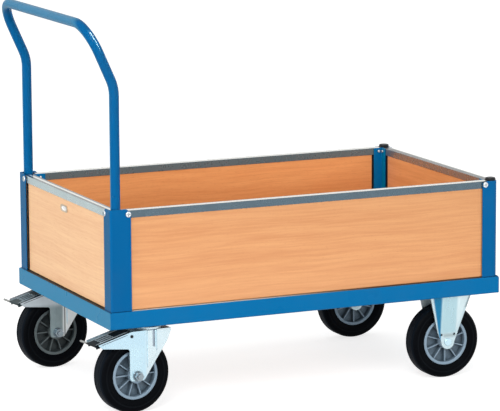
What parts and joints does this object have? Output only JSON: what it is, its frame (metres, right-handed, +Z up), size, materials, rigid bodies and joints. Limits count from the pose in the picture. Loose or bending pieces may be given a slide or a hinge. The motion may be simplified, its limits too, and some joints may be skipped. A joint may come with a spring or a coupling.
{
  "type": "box trolley",
  "caption": "Platform box trolley with a blue steel frame, wooden side walls edged in metal, a tubular push handle, and braked swivel and fixed casters.",
  "frame": {"origin": "centre of the overall box, push handle included, at floor level", "axes": "+X along the trolley from the push handle to the front, +Y across it to the far side, +Z up"},
  "size_m": [1.0612, 0.6176, 0.9165],
  "materials": {
    "frame_paint": "satin powder coat",
    "wall_wood": "lacquered beech veneer",
    "deck_wood": "lacquered beech veneer",
    "galvanised": "galvanised sheet",
    "fastener": "bright zinc plate",
    "caster_zinc": "bright zinc plate",
    "pedal_steel": "dark satin coat",
    "tyre_rubber": "matt solid rubber",
    "rim_plastic": "moulded",
    "cage_plastic": "moulded",
    "cap_plastic": "moulded"
  },
  "bodies": {
    "trolley": {"side_rail_near": "frame_paint", "side_rail_far": "frame_paint", "end_rail_handle": "frame_paint", "end_rail_front": "frame_paint", "caster_beam_handle": "frame_paint", "caster_beam_front": "frame_paint", "cross_members": "frame_paint", "post_handle_near": "frame_paint", "post_handle_far": "frame_paint", "post_front_near": "frame_paint", "post_front_far": "frame_paint", "clamp_angle_handle_near": "frame_paint", "clamp_angle_handle_far": "frame_paint", "clamp_angle_front_near": "frame_paint", "clamp_angle_front_far": "frame_paint", "front_tube_near": "frame_paint", "front_tube_far": "frame_paint", "push_handle": "frame_paint", "deck_board": "deck_wood", "wall_near": "wall_wood", "wall_far": "wall_wood", "wall_handle": "wall_wood", "wall_front": "wall_wood", "edging_near": "galvanised", "edging_far": "galvanised", "edging_handle": "galvanised", "edging_front": "galvanised", "wall_fasteners": "fastener", "caster_fasteners": "fastener", "tube_caps": "cap_plastic", "swivel_plate_near": "caster_zinc", "fixed_bracket_near": "caster_zinc", "fixed_axle_near": "caster_zinc", "swivel_plate_far": "caster_zinc", "fixed_bracket_far": "caster_zinc", "fixed_axle_far": "caster_zinc"},
    "swivel_near": {"fork_near": "caster_zinc", "king_pin_near": "fastener", "swivel_balls_near": "fastener", "axle_bolt_near": "fastener", "pedal_pin_near": "fastener"},
    "pedal_near": {"brake_pedal_near": "pedal_steel"},
    "swivel_wheel_near": {"swivel_tyre_near": "tyre_rubber", "swivel_rim_near": "rim_plastic", "swivel_roller_cage_near": "cage_plastic"},
    "fixed_wheel_near": {"fixed_tyre_near": "tyre_rubber", "fixed_rim_near": "rim_plastic", "fixed_roller_cage_near": "cage_plastic"},
    "swivel_far": {"fork_far": "caster_zinc", "king_pin_far": "fastener", "swivel_balls_far": "fastener", "axle_bolt_far": "fastener", "pedal_pin_far": "fastener"},
    "pedal_far": {"brake_pedal_far": "pedal_steel"},
    "swivel_wheel_far": {"swivel_tyre_far": "tyre_rubber", "swivel_rim_far": "rim_plastic", "swivel_roller_cage_far": "cage_plastic"},
    "fixed_wheel_far": {"fixed_tyre_far": "tyre_rubber", "fixed_rim_far": "rim_plastic", "fixed_roller_cage_far": "cage_plastic"}
  },
  "joints": [
    {"name": "caster_swivel_near", "type": "hinge", "parent": "trolley", "child": "swivel_near", "pos_m": [-0.36797, -0.2605, 0.2], "axis": [0, 0, 1], "continuous": true},
    {"name": "swivel_wheel_spin_near", "type": "hinge", "parent": "swivel_near", "child": "swivel_wheel_near", "pos_m": [-0.41272, -0.2652, 0.09], "axis": [-0.1045, 0.9945, 0], "continuous": true},
    {"name": "brake_press_near", "type": "hinge", "parent": "swivel_near", "child": "pedal_near", "pos_m": [-0.42714, -0.26672, 0.1845], "axis": [0.1045, -0.9945, 0], "range_deg": [0, 7]},
    {"name": "fixed_wheel_spin_near", "type": "hinge", "parent": "trolley", "child": "fixed_wheel_near", "pos_m": [0.40153, -0.251, 0.09], "axis": [0, 1, 0], "continuous": true},
    {"name": "caster_swivel_far", "type": "hinge", "parent": "trolley", "child": "swivel_far", "pos_m": [-0.36797, 0.2605, 0.2], "axis": [0, 0, 1], "continuous": true},
    {"name": "swivel_wheel_spin_far", "type": "hinge", "parent": "swivel_far", "child": "swivel_wheel_far", "pos_m": [-0.41272, 0.2558, 0.09], "axis": [-0.1045, 0.9945, 0], "continuous": true},
    {"name": "brake_press_far", "type": "hinge", "parent": "swivel_far", "child": "pedal_far", "pos_m": [-0.42714, 0.25428, 0.1845], "axis": [0.1045, -0.9945, 0], "range_deg": [0, 7]},
    {"name": "fixed_wheel_spin_far", "type": "hinge", "parent": "trolley", "child": "fixed_wheel_far", "pos_m": [0.40153, 0.251, 0.09], "axis": [0, 1, 0], "continuous": true}
  ]
}
